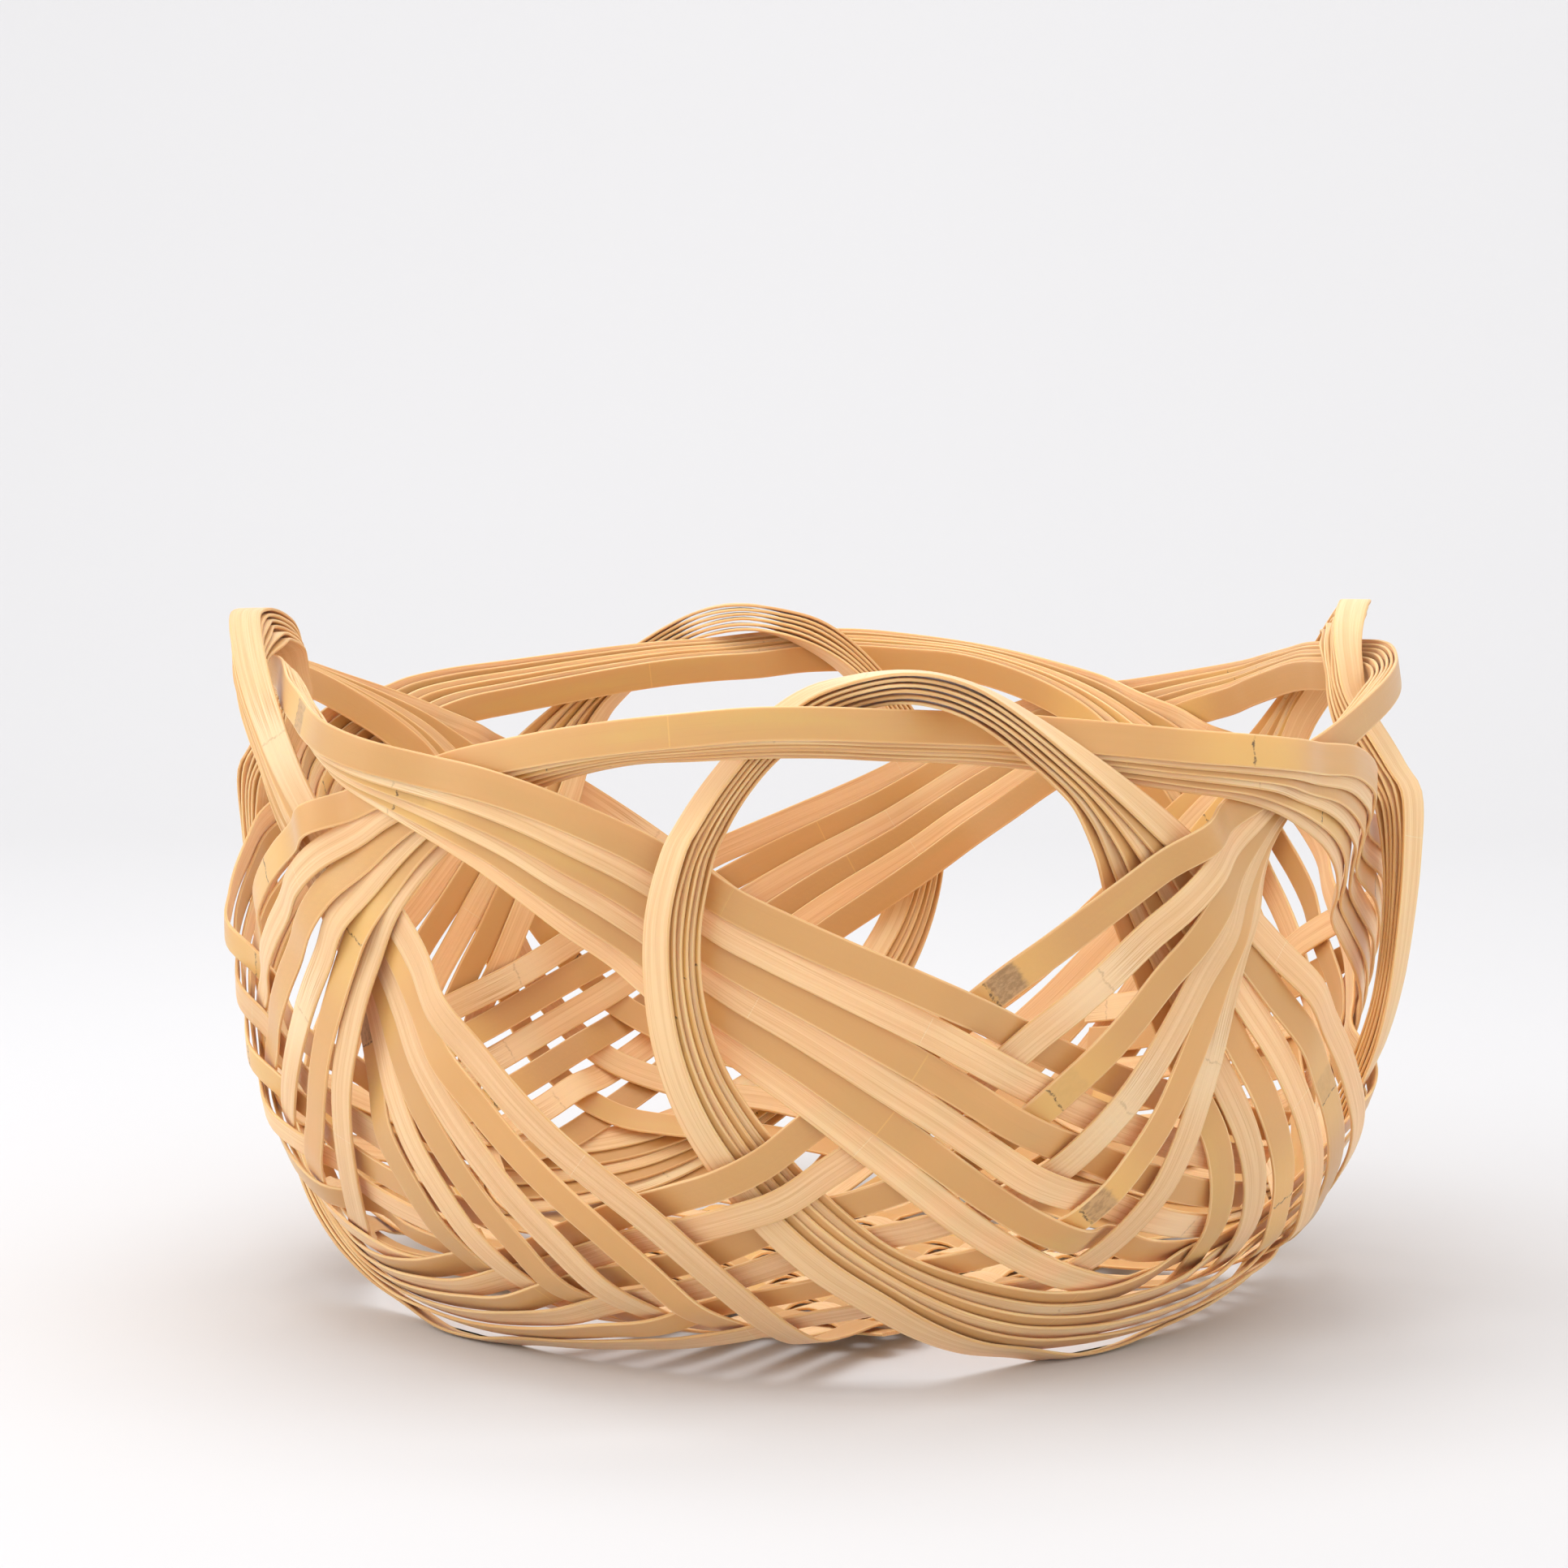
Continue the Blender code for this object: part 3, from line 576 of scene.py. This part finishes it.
def path_object(name, points, out):
    """A strip's middle line as an object of edges that carries the ways out of its outer face."""
    mesh = bpy.data.meshes.new(name)
    mesh.from_pydata(points.tolist(), [(i, i + 1) for i in range(len(points) - 1)], [])
    way = mesh.attributes.new("out_way", "FLOAT_VECTOR", "POINT")
    way.data.foreach_set("vector", out.astype(np.float32).ravel())
    item = bpy.data.objects.new(name, mesh)
    bpy.context.scene.collection.objects.link(item)
    return item


def swept_strip(item, values):
    """Sweeps the bamboo strip along the path object and leaves it as a plain mesh."""
    group = shared("node_groups", "bamboo_strip", strip_tree)
    modifier = item.modifiers.new("Bamboo strip", "NODES")
    modifier.node_group = group
    for socket in group.interface.items_tree:
        if socket.in_out == "INPUT" and socket.name in values:
            modifier[socket.identifier] = values[socket.name]
    view = bpy.context.evaluated_depsgraph_get()
    view.update()
    mesh = bpy.data.meshes.new_from_object(item.evaluated_get(view))
    mesh.name = item.name
    path = item.data
    item.modifiers.remove(modifier)
    item.data = mesh
    bpy.data.meshes.remove(path)


class BASKET_OT_plait_bundle(bpy.types.Operator):
    """Make the six bamboo strips of one bundle, along the middle lines of their solids"""
    bl_idname = "basket.plait_bundle"
    bl_label = "Plait Bundle"

    bundle: bpy.props.EnumProperty(
        name="Bundle", description="Which peak the bundle makes",
        items=[(name, name.replace("_", " ").title(), "") for name in BUNDLES])

    def execute(self, context):
        settings = context.scene.basket_strips
        skin = shared("materials", "bamboo_skin_outside",
                      lambda: bamboo_material("bamboo_skin_outside", True, settings))
        fibre = shared("materials", "bamboo_fibre_outside",
                       lambda: bamboo_material("bamboo_fibre_outside", False, settings))
        for index in range(STRIPS_PER_BUNDLE):
            node = f"{self.bundle}_strip_{index + 1}"
            skin_outside = index % 2 == 1
            item = path_object(f"{self.bundle}_bamboo_{index + 1}", *middle_line(node))
            swept_strip(item, {
                "Width": settings.width,
                "Thickness": settings.thickness,
                "Solid's thickness": settings.solid_thickness,
                "Width drift": settings.width_drift,
                "Edge rounding": settings.edge_rounding,
                "Step": settings.step,
                "First node": FIRST_NODES[self.bundle][index],
                "Node spacing": settings.node_spacing,
                "Node rise": settings.node_rise,
                "Scar": NODE_SCARS[self.bundle][index],
                "Seed": float(BUNDLES.index(self.bundle) * STRIPS_PER_BUNDLE + index),
                "Bamboo": skin if skin_outside else fibre,
            })
            if not item.data.materials:
                item.data.materials.append(skin if skin_outside else fibre)
            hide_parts(node)
            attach(item, "root")
        return {"FINISHED"}


# Stage

FLOOR_HALF_WIDTH = 4.0
FLOOR_FRONT = -3.0
WALL_PLACE = 2.2
WALL_HEIGHT = 4.0
SWEEP_RADIUS = 1.2
SWEEP_CUTS = 24
PAPER_GRAIN_SCALE = 3.0
PAPER_GRAIN_DETAIL = 3.0
PAPER_LIGHTENING = 1.015
PAPER_ROUGHNESS = 0.85
PAPER_SPECULAR = 0.2

# Lights and camera, as seen from the camera: to its right, away from it, and up
LIGHT_AIM = (0.0, 0.0, 0.07)
KEY_PLACE, KEY_SIZE = (-0.92, -0.26, 0.60), 0.7
TOP_PLACE, TOP_SIZE = (-0.10, 0.05, 1.05), 0.8
BACKDROP_PLACE, BACKDROP_AIM, BACKDROP_SIZE = (0.0, 0.9, 1.9), (0.0, 2.0, 0.4), 1.2
WHITE = (1.0, 1.0, 1.0)
WARM_WHITE = (1.0, 0.99, 0.98)
CAMERA_ASIDE = -0.0037
CAMERA_SHIFT = -0.0095
SENSOR_WIDTH = 36.0


def paper_sweep(colour):
    """Floor and backdrop in one sheet of paper that curves up behind the basket."""
    rows = [(FLOOR_FRONT, 0.0)]
    for cut in range(SWEEP_CUTS + 1):
        turn = math.pi / 2 * cut / SWEEP_CUTS
        rows.append((WALL_PLACE - SWEEP_RADIUS + SWEEP_RADIUS * math.sin(turn),
                     SWEEP_RADIUS - SWEEP_RADIUS * math.cos(turn)))
    rows.append((WALL_PLACE, WALL_HEIGHT))
    points = [(side * FLOOR_HALF_WIDTH, y, z) for y, z in rows for side in (-1, 1)]
    faces = [(2 * i, 2 * i + 1, 2 * i + 3, 2 * i + 2) for i in range(len(rows) - 1)]
    mesh = bpy.data.meshes.new("paper_sweep")
    mesh.from_pydata(points, [], faces)
    mesh.polygons.foreach_set("use_smooth", [True] * len(faces))
    item = bpy.data.objects.new("paper_sweep", mesh)
    bpy.context.scene.collection.objects.link(item)
    material = bpy.data.materials.new("studio_paper")
    material.use_nodes = True
    tree = Tree(material.node_tree.nodes, material.node_tree.links)
    shader = material.node_tree.nodes["Principled BSDF"]
    spot = tree.add("ShaderNodeTexCoord").outputs["Object"]
    grain = tree.noise(spot, PAPER_GRAIN_DETAIL, scale=PAPER_GRAIN_SCALE)
    light = tuple(min(1.0, value * PAPER_LIGHTENING) for value in colour)
    tree.links.new(tree.mix(grain, (*colour, 1.0), (*light, 1.0)), shader.inputs["Base Color"])
    shader.inputs["Roughness"].default_value = PAPER_ROUGHNESS
    shader.inputs["Specular IOR Level"].default_value = PAPER_SPECULAR
    mesh.materials.append(material)
    return item


def area_light(name, place, target, size, power, colour=WHITE):
    """A round soft light at a place, aimed at a target."""
    light = bpy.data.lights.new(name, "AREA")
    light.shape = "DISK"
    light.size = size
    light.energy = power
    light.color = colour
    item = bpy.data.objects.new(name, light)
    way = (Vector(target) - Vector(place)).to_track_quat("-Z", "Y")
    item.matrix_world = Matrix.Translation(place) @ way.to_matrix().to_4x4()
    bpy.context.scene.collection.objects.link(item)


def turned_point(x, y, z, turn):
    """A place given as seen from the camera, turned into the basket's own directions."""
    return (x * math.cos(turn) + y * math.sin(turn),
            -x * math.sin(turn) + y * math.cos(turn), z)


class BASKET_OT_set_stage(bpy.types.Operator):
    """Set up the paper sweep, the soft lights and the camera"""
    bl_idname = "basket.set_stage"
    bl_label = "Set Stage"

    def execute(self, context):
        stage = context.scene.basket_stage
        turn = stage.camera_turn
        sweep = paper_sweep(tuple(stage.paper_colour))
        sweep.data.transform(Matrix.Rotation(-turn, 4, "Z"))
        area_light("key", turned_point(*KEY_PLACE, turn), LIGHT_AIM, KEY_SIZE, stage.key_power)
        area_light("top", turned_point(*TOP_PLACE, turn), LIGHT_AIM, TOP_SIZE, stage.top_power)
        area_light("backdrop", turned_point(*BACKDROP_PLACE, turn),
                   turned_point(*BACKDROP_AIM, turn), BACKDROP_SIZE, stage.backdrop_power,
                   WARM_WHITE)
        world = bpy.data.worlds.new("white_room")
        world.use_nodes = True
        background = world.node_tree.nodes["Background"]
        background.inputs["Color"].default_value = (*WHITE, 1.0)
        background.inputs["Strength"].default_value = stage.sky_strength
        context.scene.world = world
        context.scene.view_settings.view_transform = "Standard"

        camera = bpy.data.cameras.new("camera")
        camera.lens = stage.lens
        camera.sensor_width = SENSOR_WIDTH
        camera.shift_x = CAMERA_SHIFT
        item = bpy.data.objects.new("camera", camera)
        item.location = turned_point(CAMERA_ASIDE, -stage.camera_distance, stage.camera_height,
                                     turn)
        item.rotation_euler = (math.pi / 2 - stage.camera_tilt, 0.0, -turn)
        context.scene.collection.objects.link(item)
        context.scene.camera = item
        return {"FINISHED"}


class BASKET_PT_panel(bpy.types.Panel):
    """Settings and steps of the basket"""
    bl_label = "Bamboo Basket"
    bl_idname = "BASKET_PT_panel"
    bl_space_type = "VIEW_3D"
    bl_region_type = "UI"
    bl_category = "Basket"

    def draw(self, context):
        layout = self.layout
        for group in (context.scene.basket_strips, context.scene.basket_stage):
            for name in group.bl_rna.properties.keys():
                if name not in ("rna_type", "name"):
                    layout.prop(group, name)
        for bundle in BUNDLES:
            row = layout.operator("basket.plait_bundle", text=bundle.replace("_", " ").title())
            row.bundle = bundle
        layout.operator("basket.set_stage")


CLASSES = (StripSettings, StageSettings, BASKET_OT_plait_bundle, BASKET_OT_set_stage,
           BASKET_PT_panel)


def register():
    for item in CLASSES:
        bpy.utils.register_class(item)
    bpy.types.Scene.basket_strips = bpy.props.PointerProperty(type=StripSettings)
    bpy.types.Scene.basket_stage = bpy.props.PointerProperty(type=StageSettings)


def unregister():
    del bpy.types.Scene.basket_stage
    del bpy.types.Scene.basket_strips
    for item in reversed(CLASSES):
        bpy.utils.unregister_class(item)


def main():
    register()
    for bundle in BUNDLES:
        bpy.ops.basket.plait_bundle(bundle=bundle)
    bpy.ops.basket.set_stage()


if __name__ == "__main__":
    main()
